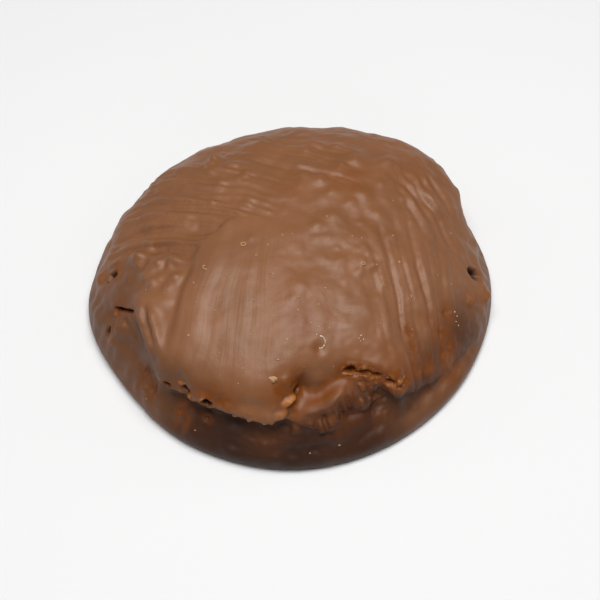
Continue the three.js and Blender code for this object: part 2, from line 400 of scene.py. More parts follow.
CREVICES = (
    Crevice(((-68, 16.8), (-64, 16.7), (-60, 15.8), (-57, 14.6), (-53, 13.7)), 0.8, 0.6, 1, 1),
    Crevice(((-162, 12.4), (-158.5, 14.4), (-155, 16.2)), 0.28, 2.4, 0.7, 0.2),
    Crevice(((-48, 6.4), (-40, 5.8), (-32, 5.6), (-25, 5.4)), 2.2, 0.45, 0.1, 0),
    Crevice(((-107, 5.4), (-98, 5.2), (-90, 5.4), (-80, 6)), 1.2, 0.4, 0, 0),
)

# Where the crumbling of a crevice's borders fades out, and how far the stain around it reaches.
CRUMBLE_FADE = (1.0, 2.0)
STAIN_REACH = 3.4

# The crumbs of the borders stand up from this level of the noise, and the highest ones show bare nut.
COARSE_CRUMBS = Wave(0.55, 1.5, 33)
FINE_CRUMBS = Wave(0.35, 0.8, 34)
CRUMB_LEVEL = 0.15
CRUMB_NUT = 0.5
CRUMB_NUT_RISE = (0.1, 0.35)

# A crevice wanders, the less the cleaner it is. Its depth is broken about a mean share, within limits, and
# its bottom is painted dark as shade from these shares on.
CREVICE_WANDER = Wave(0.5, 1.3, 32)
CLEAN_WANDER = 0.2
CREVICE_BREAKS = Wave(1.6, 1.7, 31)
CREVICE_MEAN = 0.55
CREVICE_LIMITS = (0.1, 1.3)
CREVICE_DARK = (0.3, 0.8)

# Small nodules where the crag edge crumbles: count, spans of azimuth, heights, half widths, rises and tints.
NODULE_COUNT = 24
NODULE_SPANS = ((-127, -98), (-69, -50))
NODULE_LEVEL = (11.5, 15.0)
NODULE_RADIUS = (0.35, 0.75)
NODULE_HEIGHT = (0.1, 0.35)
NODULE_RUST = (0.2, 0.8)
NODULE_NUT = (0, 0.3)

# How far around the crags the mesh is twice as fine.
FINE_REACH = 2.4

# Patches of the open coat tinted towards the crag colour: painted shade in the dent below the sugar and
# in the valley, darker, browner patches of the coat elsewhere. Place in plan, radius and share.
STAINS_AND_SHADE = (
    ((2.8, -20.0), 4.4, 0.65),
    ((5.2, -26.4), 1.2, 0.7),
    ((2.7, -32.2), 2.0, 0.9),
    ((0.5, 9.0), 5.0, 0.25),
    ((15.5, 2.5), 4.0, 0.2),
    ((13.0, 12.5), 5.5, 0.45),
    ((24.0, 17.0), 5.0, 0.3),
    ((22.5, -28.0), 3.6, 0.8),
    ((18.5, -25.5), 3.6, 0.45),
)

# Where things lie on the dome, in plan.
SQUARE_CRUMBS = ((-3.2, -32.0),)
SPECK_PLACES = (
    (-19, -12.6), (-17, -13.5), (-18.4, -17), (-14.6, -18.6), (-6.7, -7), (-3.9, -11.2), (-3.3, -11.3),
    (4.2, -21.6), (-7.1, -16.9), (-3, -20.3), (-7.5, -23.8), (-0.5, -25), (-2.2, -28.7), (7, -14.1),
    (-1.5, -2.1), (4, -40.6), (9.8, -39.2), (-18.8, -35.9), (-29, -28.4), (22, -6),
)
SUGAR_PLACES = (
    (5.2, -23.7), (5.7, -22.2), (7.8, -22.2), (13.5, -23.8), (13.9, -23.2), (13.8, -24.2), (14.4, -23.8),
    (33.5, -12.5), (34.0, -13.0), (33.8, -14.0), (34.3, -14.6),
)

# The arc of sugar grains: middle in plan, radius, first and last direction in degrees, count.
SUGAR_ARC = ((5.9, -24.9), 1.0, 80, -95, 13)
BUBBLE_PLACES = ((-9.3, -4.2), (-16.8, -9.6), (14.6, -8.1))

# How the solid's facets, its coarse relief and the bulges are evened out: strength and rounds. A round of
# full strength takes a point a share of the way to the mean place of its neighbours.
EVEN_ALL = (0.5, 6)
EVEN_TOP = (0.6, 30)
EVEN_CROWN = (1, 100)
EVEN_VALLEY = (1, 90)
EVEN_LIP = (0.7, 40)
EVEN_FLANKS = (1, 60)
EVEN_BULGES = (1, 36)
EVEN_STEP = 0.6

# The open top of the coat: how far up it faces, how high it lies, how softly it ends, and its crown.
TOP_SLOPE = (0.3, 0.6)
TOP_RISE = (9, 12)
TOP_ROUNDS = 12
CROWN_RISE = (17.5, 20)

# Stretches of the side with a relief of their own, and the bands of height in which it rises and falls.
FRONT = Sector(-92, 30, 52)
LEFT = Sector(-150, 20, 45)
RIGHT = Sector(-22, 25, 50)
BRUSHED_RISE = (6, 10)
LIP_SLOPE = (0.35, 0.75)
LIP_RISE = (7, 9)
ROLLED_LIP = Sector(-118, 18, 28)
ROLLED_RISE = (8, 10)
ROLLED_FALL = (15, 17)
CALM_RISE = (11, 13)
FLANKS_RISE = (2.5, 4.5)
FLANKS_FALL = (7, 9.5)

# The coat's softest waves, which are lower under the front stroke, and the bulges of the crag edge.
SOFT_WAVES = (Wave(0.5, 6, 5), Wave(0.21, 2.8, 6), Wave(0.09, 1.3, 7))
SOFT_RISE = (2, 6)
SOFT_WIPED = 0.6
CRAG_BULGES = (Wave(1.7, 4, 3), Wave(0.5, 1.8, 4))
CRAG_LEVEL = 0.55

# Runs of chocolate down the side, and the finer drips on the right: their waves, drawn out upright.
RUNS = Wave(0.55, 2.4, 8)
RUNS_DRAWN = (1, 1, 0.25)
RUNS_RISE = (2, 5)
DRIPS = Wave(0.15, 1.3, 9)
DRIPS_DRAWN = (1, 1, 0.15)
DRIPS_RISE = (4, 7)
DRIPS_FALL = (12, 16)

# Bare dough and painted shade in the hollows of the crag edge: how hollow and how soft they are, and its
# share.
HOLLOW_DEPTH = (0.01, 0.06)
HOLLOW_ROUNDS = 3
HOLLOW_TINT_AND_SHADE = 0.6

# Where the side is painted darker as shade: stretches, bands of height and shares. Under the lip the
# dark of the holes is painted in too. The full lip above the front is paler, spared the painted shade.
SHADED = Sector(-92, 24, 52)
FULL_LIP = Sector(-112, 20, 28)
FULL_LIP_RISE = (10.3, 11.6)
UNDER_LIP = Sector(-96, 8, 20)
UNDER_LIP_FALL = (9, 11)
UNDER_LIP_SHARE = 0.5
RIGHT_FLANK = Sector(-46, 20, 42)
RIGHT_FLANK_RISE = (3.5, 6)
RIGHT_FLANK_FALL = (11, 16)
RIGHT_FLANK_SHARE = 0.8
LEFT_FLANK = Sector(-146, 18, 40)
LEFT_FLANK_FALL = (15, 20)
LEFT_FLANK_SHARE = 0.45
FOOT_FALL = (4, 9)
FOOT_SHARE = 0.4
LOBE = Sector(-76, 10, 15)
LOBE_FACE = (0, 2)
LOBE_RISE = (7, 9)
LOBE_SHARE = 0.8

# Where crumb dust falls: how high on the dome, and how far towards the front.
DUST_RISE = (14, 17)
DUST_FRONT = (-25, 10)


def length_setting(name, description, millimetres):
    """A length that a user can change."""
    return bpy.props.FloatProperty(
        name=name, description=description, default=millimetres * MM, unit="LENGTH",
    )


def colour_setting(name, description, default):
    """A colour that a user can change."""
    return bpy.props.FloatVectorProperty(
        name=name, description=description, default=default, subtype="COLOR", size=3,
    )


def power_setting(name, description, watts):
    """A light's power that a user can change."""
    return bpy.props.FloatProperty(name=name, description=description, default=watts, unit="POWER")


class CoatSettings(bpy.types.PropertyGroup):
    """Sizes and colours of the chocolate coat."""

    grain: length_setting("Grain", "Side of the quads that carry the coat's relief", 0.46)
    chocolate: colour_setting("Chocolate", "Colour of the open coat", (0.222, 0.091, 0.038))
    deep: colour_setting("Deep chocolate", "Colour of the coat's darker patches", (0.193, 0.079, 0.032))
    rust: colour_setting("Crag", "Colour of the bare dough in the crags", (0.16, 0.041, 0.003))
    nut: colour_setting("Nut", "Colour of bare nut in the crags", (0.34, 0.115, 0.018))
    # Painted shade: this colour darkens the side under the edge, the flanks and the foot, where shade falls.
    side: colour_setting("Side", "Colour of the coat on the side, under the edge", (0.039, 0.0088, 0.0006))
    # Painted shade: this colour darkens the bottoms of the deep pits and crevices, and the side under the
    # lip.
    painted_dark_shade: colour_setting("Hole", "Colour of the dough at the bottom of the holes", (0.014, 0.003, 0.0005))


class CrumbSettings(bpy.types.PropertyGroup):
    """Sizes and colours of what lies on the coat."""

    speck: length_setting("Speck", "Radius of a nut speck", 0.24)
    dust: length_setting("Dust", "Radius of the finest crumbs", 0.19)
    density: bpy.props.FloatProperty(
        name="Density", description="How many of the finest crumbs lie on a square metre", default=12000,
    )
    crumb: length_setting("Crumb", "Side of the square crumb", 1.3)
    sugar: length_setting("Sugar", "Radius of a sugar grain", 0.16)
    bubble: length_setting("Bubble", "Radius of a burst bubble", 0.45)
    rim: length_setting("Bubble rim", "Radius of the thread of coat around a burst bubble", 0.13)
    tan: colour_setting("Nut crumb", "Colour of nut specks and crumbs", (0.5, 0.28, 0.13))
    white: colour_setting("Sugar colour", "Colour of sugar grains", (0.72, 0.58, 0.46))


class StageSettings(bpy.types.PropertyGroup):
    """The floor, the lights and the camera."""

    floor: colour_setting("Floor", "Colour of the floor", (0.78, 0.78, 0.78))
    softbox: power_setting("Softbox", "Power of the softbox overhead", 4.25)
    sidebox: power_setting("Side softboxes", "Power of each softbox to the left and right", 0.22)
    frontbox: power_setting("Front softbox", "Power of the low softbox in front", 0.22)
    surround: bpy.props.FloatProperty(
        name="Surround", description="Strength of the white surround", default=0.09,
    )
    elevation: bpy.props.FloatProperty(
        name="Camera height", description="Angle of the camera over the table",
        default=math.radians(56), subtype="ANGLE",
    )
    distance: length_setting("Camera distance", "From the camera to the middle of the view", 300)
    aim: bpy.props.FloatVectorProperty(
        name="Camera aim", description="The middle of the view",
        default=(2.02 * MM, -3.43 * MM, 3.68 * MM), subtype="XYZ", size=3,
    )
    lens: bpy.props.FloatProperty(
        name="Lens", description="Focal length in millimetres", default=84.7, unit="CAMERA",
    )


# Distance in the noise from one seed to the next, and how far a billow is rounded at its bottom.
SEED_APART = 13.7
BILLOW_ROUND = 0.03


def smooth_step(value, low, high):
    """0 below low, 1 above high and a soft rise between them."""
    t = np.clip((value - low) / (high - low), 0, 1)
    return t * t * (3 - 2 * t)


def waves(points, size, seed):
    """Smooth noise from -1 to 1 at each point, in waves of about that size."""
    shifted = points / size + seed * SEED_APART
    return np.array([noise.noise(place) for place in shifted.tolist()])


def billow(points, size, seed):
    """Noise in soft round bulges, from about 0 to 1."""
    return np.sqrt(waves(points, size, seed) ** 2 + BILLOW_ROUND)


def wave_height(points, *kinds):
    """Height of one or more kinds of smooth noise at each point."""
    return sum(kind.rise * waves(points, kind.size, kind.seed) for kind in kinds)


def link(piece):
    """Puts a new object into the scene and returns it."""
    bpy.context.scene.collection.objects.link(piece)
    return piece


def baked_mesh(piece):
    """The piece's mesh with its modifiers applied, as a plain mesh of its own."""
    bpy.context.view_layer.update()
    graph = bpy.context.evaluated_depsgraph_get()
    return bpy.data.meshes.new_from_object(piece.evaluated_get(graph))


# Points of the solid's loose triangles that lie closer together than this are one point.
MERGE = 0.001


def even_mesh(grain):
    """The solid as an even mesh: a merged copy, rounded once and laid out anew in quads of one size."""
    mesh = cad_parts[NODE].data.copy()
    work = bmesh.new()
    work.from_mesh(mesh)
    bmesh.ops.remove_doubles(work, verts=work.verts, dist=MERGE * MM)
    work.to_mesh(mesh)
    work.free()
    body = link(bpy.data.objects.new("even_body", mesh))
    rounding = body.modifiers.new("rounding", "SUBSURF")
    rounding.levels = 1
    rounding.render_levels = 1
    quads = body.modifiers.new("even quads", "REMESH")
    quads.mode = "VOXEL"
    quads.voxel_size = grain
    baked = baked_mesh(body)
    bpy.data.objects.remove(body)
    return baked


# The underside counts as flat up to this height, and keeps its quads from this radius on.
SOLE_FLAT = 0.05
SOLE_KEPT = 36


def thin_sole(mesh):
    """Closes the flat underside with one fan, because its even quads carry no relief."""
    work = bmesh.new()
    work.from_mesh(mesh)
    flat = [
        face for face in work.faces
        if all(v.co.z < SOLE_FLAT * MM and v.co.xy.length < SOLE_KEPT * MM for v in face.verts)
    ]
    bmesh.ops.delete(work, geom=flat, context="FACES")
    rim = [edge for edge in work.edges if edge.is_boundary]
    filled = bmesh.ops.holes_fill(work, edges=rim, sides=0)
    bmesh.ops.poke(work, faces=filled["faces"])
    bmesh.ops.recalc_face_normals(work, faces=work.faces)
    work.to_mesh(mesh)
    work.free()


class Skin:
    """The coat's mesh as arrays, in millimetres."""

    def __init__(self, mesh):
        self.mesh = mesh
        count = len(mesh.vertices)
        flat = np.empty(count * 3, np.float32)
        mesh.vertices.foreach_get("co", flat)
        self.points = flat.reshape(-1, 3).astype(float) / MM
        pairs = np.empty(len(mesh.edges) * 2, np.int32)
        mesh.edges.foreach_get("vertices", pairs)
        self.one, self.two = pairs.reshape(-1, 2).T
        self.degree = np.bincount(self.one, minlength=count) + np.bincount(self.two, minlength=count)

    def tree(self):
        """The points' faces as a tree to cast rays at."""
        return BVHTree.FromPolygons(self.points.tolist(), [tuple(p.vertices) for p in self.mesh.polygons])

    def store(self):
        """Writes the points back into the mesh."""
        self.mesh.vertices.foreach_set("co", (self.points * MM).astype(np.float32).ravel())
        self.mesh.update()

    def normals(self):
        """The vertex normals of the points as they are now."""
        self.store()
        flat = np.empty(len(self.points) * 3, np.float32)
        self.mesh.vertex_normals.foreach_get("vector", flat)
        return flat.reshape(-1, 3).astype(float)

    def mean(self, values):
        """The mean of a value over each point's neighbours."""
        total = np.bincount(self.one, values[self.two], len(values))
        total += np.bincount(self.two, values[self.one], len(values))
        return total / self.degree

    def shifts(self):
        """How far each point is from the mean place of its neighbours."""
        return np.stack([self.mean(column) for column in self.points.T], axis=1) - self.points

    def smooth(self, weights, strength, rounds):
        """Evens the points out in rounds, by weights from 0 to 1."""
        for _ in range(rounds):
            self.points += EVEN_STEP * strength * weights[:, None] * self.shifts()

    def attribute(self, name, values):
        """Keeps one number or one vector for each point in the mesh, for the materials."""
        kind, key = ("FLOAT", "value") if values.ndim == 1 else ("FLOAT_VECTOR", "vector")
        layer = self.mesh.attributes.new(name, kind, "POINT")
        layer.data.foreach_set(key, values.astype(np.float32).ravel())


def stroke_places(stroke, points):
    """How far along and across a stroke each point lies, and how fully the stroke covers it."""
    turn = math.radians(stroke.heading)
    x = points[:, 0] - stroke.middle[0]
    y = points[:, 1] - stroke.middle[1]
    along = x * math.cos(turn) + y * math.sin(turn)
    side = y * math.cos(turn) - x * math.sin(turn) + wave_height(points, STROKE_WANDER)
    across = (side - stroke.bend * along**2) / (1 + stroke.spread * along)
    start, end = stroke.ends
    cover = smooth_step(along + stroke.length / 2, 0, start)
    if end:
        cover *= smooth_step(stroke.length / 2 - along, 0, end)
    rounding = np.clip((STROKE_ROUND - stroke.length / 2 - along) / STROKE_ROUND, 0, 1)
    half = stroke.width / 2 * np.sqrt(1 - rounding**2)
    right, left = stroke.borders
    cover *= smooth_step(half + across, 0, right) * smooth_step(half - across, 0, left)
    return along, across, cover


def groove_relief(stroke, along, across, seed):
    """Depth of a stroke's deep lines at each point. They wander a little, fade and come back."""
    level = np.full_like(along, seed * STROKE_APART)
    wander = GROOVE_WANDER * waves(np.stack([along, across, level], axis=1), LINE_WANDER, seed)
    depth = np.zeros_like(along)
    for groove in stroke.grooves:
        lane = np.full_like(along, groove.across * GROOVE_APART)
        swing = GROOVE_SWING * waves(np.stack([along, lane, level], axis=1), LINE_WANDER, GROOVE_SEED)
        line = np.exp(-(((across + wander - groove.across) / groove.half) ** 2))
        depth = np.maximum(depth, groove.depth * line * np.clip(GROOVE_MEAN + swing, *GROOVE_LIMITS))
    return depth


def streak_relief(stroke, along, across, seed):
    """Height of a stroke's soft streaks at each point."""
    height = np.zeros_like(along)
    for rise, (length, width) in zip(stroke.streaks, (BROAD_STREAK, FINE_STREAK)):
        places = np.stack([along / length, across / width, np.zeros_like(along)], axis=1)
        height += rise * waves(places, 1, seed + width)
    return height


def brushed_relief(points):
    """Height of the brushed coat over the dome at each point, where its strokes run and how clearly.

    A later stroke wipes out the lines of the earlier ones. Where two strokes meet, neither is clear.
    """
    lifted = np.zeros(len(points))
    lined = np.zeros(len(points))
    best = np.zeros(len(points))
    second = np.zeros(len(points))
    brush = np.zeros((len(points), 3))
    for number, stroke in enumerate(STROKES):
        along, across, cover = stroke_places(stroke, points)
        rim = smooth_step(stroke.width / 2 + across, *RIM_BAND)
        lifted += cover * stroke.lift * (1 - (1 - RIM_SHARE) * rim)
        lines = streak_relief(stroke, along, across, number) - groove_relief(stroke, along, across, number)
        lined += cover * (lines - lined)
        ahead = cover > best
        second = np.maximum(second, np.minimum(best, cover))
        best = np.maximum(best, cover)
        lane = np.full_like(along, number * BRUSH_APART)
        brush[ahead] = np.stack([along, across, lane], axis=1)[ahead]
    return lifted + lined, brush, best - second


def cluster_lumps():
    """The small pieces of nut under the coat, drawn at random from a fixed seed."""
    draw = np.random.default_rng(SEED)
    for cluster in CLUSTERS:
        for _ in range(cluster.count):
            place = draw.normal(cluster.middle, cluster.spread)
            yield place, draw.uniform(*cluster.radius), draw.uniform(*cluster.rise)


def lump_relief(points):
    """Height of the soft nut lumps at each point."""
    height = np.zeros(len(points))
    for (x, y), radius, rise in (*LUMPS, *cluster_lumps()):
        reach = ((points[:, 0] - x) ** 2 + (points[:, 1] - y) ** 2) / radius**2
        height += rise * np.exp(-LUMP_STEEPNESS * reach)
    return height


def line_offset(points, start, end):
    """How far each point lies from a line in plan, and on which side of it: above 0 is left of its way."""
    start = np.array(start, float)
    line = np.array(end, float) - start
    offset = points[:, :2] - start
    share = np.clip(offset @ line / (line @ line), 0, 1)
    distance = np.linalg.norm(offset - share[:, None] * line, axis=1)
    return distance, np.sign(line[0] * offset[:, 1] - line[1] * offset[:, 0])


def plan_reach(points, places):
    """How far each point lies from a line through places in plan."""
    return np.min([line_offset(points, start, end)[0] for start, end in zip(places, places[1:])], axis=0)


def ridge_relief(points):
    """Height of the ridges and furrows at each point."""
    height = np.zeros(len(points))
    for ridge in RIDGES:
        line = np.exp(-((plan_reach(points, ridge.places) / ridge.half) ** 2))
        for tip in (ridge.places[0], ridge.places[-1]):
            line *= smooth_step(np.linalg.norm(points[:, :2] - tip, axis=1), 0, RIDGE_TAPER)
        height += ridge.rise * line
    return height


def valley_share(points, half):
    """How near the middle of the valley behind the front lobe each point lies, from 0 to 1."""
    return np.exp(-((plan_reach(points, VALLEY) / half) ** 2))


def flap_relief(points):
    """Height of the step at the flap's edge at each point: the flap lies higher than the apron beside it."""
    nearest = np.full(len(points), np.inf)
    height = np.zeros(len(points))
    for start, end in zip(FLAP, FLAP[1:]):
        distance, side = line_offset(points, start, end)
        closer = distance < nearest
        nearest = np.minimum(nearest, distance)
        step = side * smooth_step(distance, 0, FLAP_SOFT) * np.exp(-distance / FLAP_FADE)
        height[closer] = 0.5 * FLAP_STEP * step[closer]
    for tip, inner in ((FLAP[0], FLAP[1]), (FLAP[-1], FLAP[-2])):
        way = np.array(inner, float) - tip
        height *= smooth_step((points[:, :2] - tip) @ way / np.linalg.norm(way), 0, FLAP_FADE)
    return height


def turn_from(points, azimuth):
    """How many degrees each point lies from an azimuth."""
    found = np.degrees(np.arctan2(points[:, 1], points[:, 0]))
    return np.abs((found - azimuth + 180) % 360 - 180)


def in_sector(points, sector):
    """How far each point lies in a stretch of the side, from 0 to 1."""
    return 1 - smooth_step(turn_from(points, sector.azimuth), sector.near, sector.far)


def above(points, band):
    """0 for points below a band of heights, 1 above it and a soft rise in it."""
    return smooth_step(points[:, 2], *band)


def below(points, band):
    """1 for points below a band of heights, 0 above it and a soft fall in it."""
    return 1 - above(points, band)


# Rays at the side start this far out, beyond the foot.
RAY_START = 80


def side_spot(tree, azimuth, height):
    """The point of the coat at an azimuth and height, seen from outside."""
    out = Vector((math.cos(math.radians(azimuth)), math.sin(math.radians(azimuth)), 0))
    start = out * RAY_START + Vector((0, 0, height))
    spot = tree.ray_cast(start, -out)[0]
    if spot is None:
        raise RuntimeError(f"no coat at azimuth {azimuth} and height {height}")
    return np.array(spot)


def nodule_dabs():
    """The small nodules of the crumbling edge, drawn at random from a fixed seed."""
    draw = np.random.default_rng(SEED)
    for number in range(NODULE_COUNT):
        span = NODULE_SPANS[number % len(NODULE_SPANS)]
        yield Dab(
            draw.uniform(*span), draw.uniform(*NODULE_LEVEL), *draw.uniform(*NODULE_RADIUS, 2),
            -draw.uniform(*NODULE_HEIGHT), draw.uniform(*NODULE_RUST), draw.uniform(*NODULE_NUT),
        )


def line_reach(points, spots):
    """How far each point lies from a line through spots of the coat."""
    nearest = np.full(len(points), np.inf)
    for start, end in zip(spots, spots[1:]):
        line = end - start
        offset = points - start
        share = np.clip(offset @ line / (line @ line), 0, 1)
        nearest = np.minimum(nearest, np.linalg.norm(offset - share[:, None] * line, axis=1))
    return nearest


def refine_crags(mesh):
    """Splits the quads near the crags once."""
    tree = Skin(mesh).tree()
    lines = [[side_spot(tree, *place) for place in crevice.places] for crevice in CREVICES]
    spots = np.array([side_spot(tree, dab.azimuth, dab.height) for dab in CRAGS])
    centres = np.array([polygon.center for polygon in mesh.polygons]) / MM
    reach = np.min([line_reach(centres, line) for line in lines], axis=0)
    for spot in spots:
        reach = np.minimum(reach, np.linalg.norm(centres - spot, axis=1))
    work = bmesh.new()
    work.from_mesh(mesh)
    edges = {edge for face, near in zip(work.faces, reach < FINE_REACH) if near for edge in face.edges}
    bmesh.ops.subdivide_edges(work, edges=list(edges), cuts=1, use_grid_fill=True)
    bmesh.ops.triangulate(work, faces=[face for face in work.faces if len(face.verts) > 4])
    work.to_mesh(mesh)
    work.free()


def deepen(tint, near, values):
    """Raises a tint to at least these values at the points picked."""
    tint[near] = np.maximum(tint[near], values)


def crevice_relief(skin, tree, normals, tints):
    """Cuts the crevices with their crumbling borders, and tints them, with painted shade along their deep
    bottoms.
    """
    points = skin.points
    wander = wave_height(points, CREVICE_WANDER)
    broken = np.clip(CREVICE_MEAN + wave_height(points, CREVICE_BREAKS), *CREVICE_LIMITS)
    coarse = np.abs(waves(points, COARSE_CRUMBS.size, COARSE_CRUMBS.seed)) - CRUMB_LEVEL
    fine = np.abs(waves(points, FINE_CRUMBS.size, FINE_CRUMBS.seed)) - CRUMB_LEVEL
    crumbs = COARSE_CRUMBS.rise * coarse + FINE_CRUMBS.rise * fine
    height = np.zeros(len(points))
    everywhere = slice(None)
    for crevice in CREVICES:
        spots = [side_spot(tree, azimuth, level) for azimuth, level in crevice.places]
        wandering = CLEAN_WANDER + (1 - CLEAN_WANDER) * crevice.crumble
        reach = np.abs(line_reach(points, spots) + wandering * wander)
        near = crevice.rust * (1 - smooth_step(reach, *CRUMBLE_FADE))
        cut = np.exp(-((reach / crevice.half) ** 2)) * (1 + crevice.crumble * (broken - 1))
        height += crevice.crumble * near * crumbs - crevice.depth * cut
        nut = CRUMB_NUT * crevice.crumble * near * smooth_step(coarse, *CRUMB_NUT_RISE)
        dark = smooth_step(crevice.depth, *DARK_DEPTH) * smooth_step(cut, *CREVICE_DARK)
        deepen(tints["rust"], everywhere, crevice.rust * (1 - smooth_step(reach, crevice.half, STAIN_REACH)))
        deepen(tints["nut"], everywhere, nut)
        deepen(tints["dark"], everywhere, dark)
    skin.points += height[:, None] * normals


def dab_axes(normals):
    """The way out of the coat at a dab, and the ways along its width and its height."""
    out = normals.mean(axis=0)
    out /= np.linalg.norm(out)
    wide = np.cross((0, 0, 1), out)
    wide /= np.linalg.norm(wide)
    return out, wide, np.cross(out, wide)


def crag_relief(skin, tree, normals, tints, dabs):
    """Moves the points into the crag's pits and nubs, and tints them, with painted shade at the bottom of
    the deep pits.
    """
    ragged = wave_height(skin.points, *CRAG_RAGGED)
    moves = np.zeros_like(skin.points)
    for dab in dabs:
        offset = skin.points - side_spot(tree, dab.azimuth, dab.height)
        size = max(dab.wide, dab.tall)
        distance = np.linalg.norm(offset, axis=1) / size
        out, wide, tall = dab_axes(normals[distance < DAB_AROUND])
        near = distance < DAB_HALO[1]
        raggedness, halo_share = (PIT_RAGGED, PIT_HALO) if dab.depth > 0 else (NUB_RAGGED, NUB_HALO)
        reach = np.hypot(offset[near] @ wide / dab.wide, offset[near] @ tall / dab.tall)
        reach += raggedness * ragged[near]
        weight = 1 - smooth_step(reach, *DAB_FADE)
        weight *= 1 - smooth_step(distance[near], *DAB_LIMIT)
        moves[near] -= dab.depth * weight[:, None] * out
        core = 1 - smooth_step(reach, *DAB_CORE)
        halo = halo_share * (1 - smooth_step(reach, *DAB_HALO))
        dark = smooth_step(dab.depth, *DARK_DEPTH) * (1 - smooth_step(reach, *DAB_DARK))
        deepen(tints["rust"], near, dab.rust * np.maximum(core, halo))
        deepen(tints["nut"], near, dab.nut * (1 - smooth_step(reach, *DAB_NUT)))
        deepen(tints["dark"], near, dark)
        if dab.depth < 0:
            deepen(tints["raised"], near, weight)
    skin.points += moves


def stain_and_shade_share(points):
    """How strongly the open coat is tinted in its darker patches and painted shade at each point, from 0 to
    1.
    """
    share = np.zeros(len(points))
    for (x, y), radius, strength in STAINS_AND_SHADE:
        reach = ((points[:, 0] - x) ** 2 + (points[:, 1] - y) ** 2) / radius**2
        share = np.maximum(share, strength * np.exp(-reach))
    return share


class Zones(NamedTuple):
    """How far each point of the coat lies in its zones, from 0 to 1.

    Top is the open dome, front the front of the side, valley the valley behind the front lobe, and craggy
    what isn't calm around that valley.
    """

    top: np.ndarray
    front: np.ndarray
    valley: np.ndarray
    craggy: np.ndarray


def even_out(skin):
    """Evens out the solid's facets and coarse relief, and returns the zones of the coat."""
    points = skin.points
    top = smooth_step(skin.normals()[:, 2], *TOP_SLOPE) * above(points, TOP_RISE)
    for _ in range(TOP_ROUNDS):
        top = skin.mean(top)
    crown = top * above(points, CROWN_RISE)
    skin.smooth(np.ones(len(points)), *EVEN_ALL)
    skin.smooth(top, *EVEN_TOP)
    skin.smooth(crown, *EVEN_CROWN)

    valley = valley_share(points, VALLEY_HALF)
    craggy = 1 - valley_share(points, VALLEY_CALM)
    skin.smooth((1 - craggy) * above(points, CALM_RISE), *EVEN_VALLEY)
    rolled = above(points, ROLLED_RISE) * below(points, ROLLED_FALL) * in_sector(points, ROLLED_LIP)
    skin.smooth(rolled * craggy, *EVEN_LIP)
    front = in_sector(points, FRONT)
    skin.smooth(above(points, FLANKS_RISE) * below(points, FLANKS_FALL) * (1 - front), *EVEN_FLANKS)
    return Zones(top, front, valley, craggy)


def lay_coat(skin, zones):
    """Moves the points out to the brushed coat with its lumps, bulges and runs.

    Returns where the lip of the crag edge is, where the brush strokes run and how clearly.
    """
    points = skin.points
    normals = skin.normals()
    lip = above(points, LIP_RISE) * (1 - smooth_step(normals[:, 2], *LIP_SLOPE))
    right = in_sector(points, RIGHT)
    strokes, brush, clear = brushed_relief(points)
    lumps = lump_relief(points) + ridge_relief(points)
    height = np.maximum(zones.top, right * above(points, BRUSHED_RISE)) * strokes
    height += zones.top * (lumps - VALLEY_DEPTH * zones.valley)

    wiped = stroke_places(FRONT_STROKE, points)[2]
    height += wave_height(points, *SOFT_WAVES) * above(points, SOFT_RISE) * (1 - SOFT_WIPED * wiped)
    bulges = sum(kind.rise * billow(points, kind.size, kind.seed) for kind in CRAG_BULGES) - CRAG_LEVEL
    height += lip * zones.front * zones.craggy * bulges
    height += (1 - zones.top) * above(points, RUNS_RISE) * wave_height(points * RUNS_DRAWN, RUNS)
    drips = above(points, DRIPS_RISE) * below(points, DRIPS_FALL)
    height += right * drips * wave_height(points * DRIPS_DRAWN, DRIPS)
    height += in_sector(points, LEFT) * flap_relief(points)
    skin.points += height[:, None] * normals
    return lip, brush, clear


def cut_crags(skin):
    """Moves the points into the bulges, crevices, pits and nubs of the side, and returns their tints, which
    hold painted shade at the bottom of the deep pits and crevices.
    """
    tints = {name: np.zeros(len(skin.points)) for name in ("rust", "nut", "dark", "raised")}
    crag_relief(skin, skin.tree(), skin.normals(), tints, BULGES)
    skin.smooth(np.sqrt(tints["raised"]), *EVEN_BULGES)
    normals = skin.normals()
    tree = skin.tree()
    crevice_relief(skin, tree, normals, tints)
    crag_relief(skin, tree, normals, tints, (*nodule_dabs(), *CRAGS))
    skin.points[:, 2] = np.maximum(skin.points[:, 2], 0)
    return tints


def hollow_share(skin):
    """How hollow the coat is at each point, from 0 to 1."""
    hollow = (skin.shifts() * skin.normals()).sum(axis=1)
    for _ in range(HOLLOW_ROUNDS):
        hollow = skin.mean(hollow)
    return smooth_step(hollow, *HOLLOW_DEPTH)


def painted_shade_share(points, top):
    """How much painted shade darkens the coat of the side at each point, from 0 to 1."""
    paler = above(points, FULL_LIP_RISE) * in_sector(points, FULL_LIP)
    shaded = (1 - top) * in_sector(points, SHADED) * (1 - paler)
    right = in_sector(points, RIGHT_FLANK) * above(points, RIGHT_FLANK_RISE)
    right *= below(points, RIGHT_FLANK_FALL)
    left = in_sector(points, LEFT_FLANK) * below(points, LEFT_FLANK_FALL)
    distance, side = line_offset(points, LOBE_RIDGE[0], LOBE_RIDGE[-1])
    face = smooth_step(-distance * side, *LOBE_FACE)
    lobe = face * in_sector(points, LOBE) * above(points, LOBE_RISE)
    shares = (
        shaded,
        RIGHT_FLANK_SHARE * right,
        LEFT_FLANK_SHARE * left,
        FOOT_SHARE * below(points, FOOT_FALL),
        LOBE_SHARE * lobe,
    )
    return np.maximum.reduce(shares)


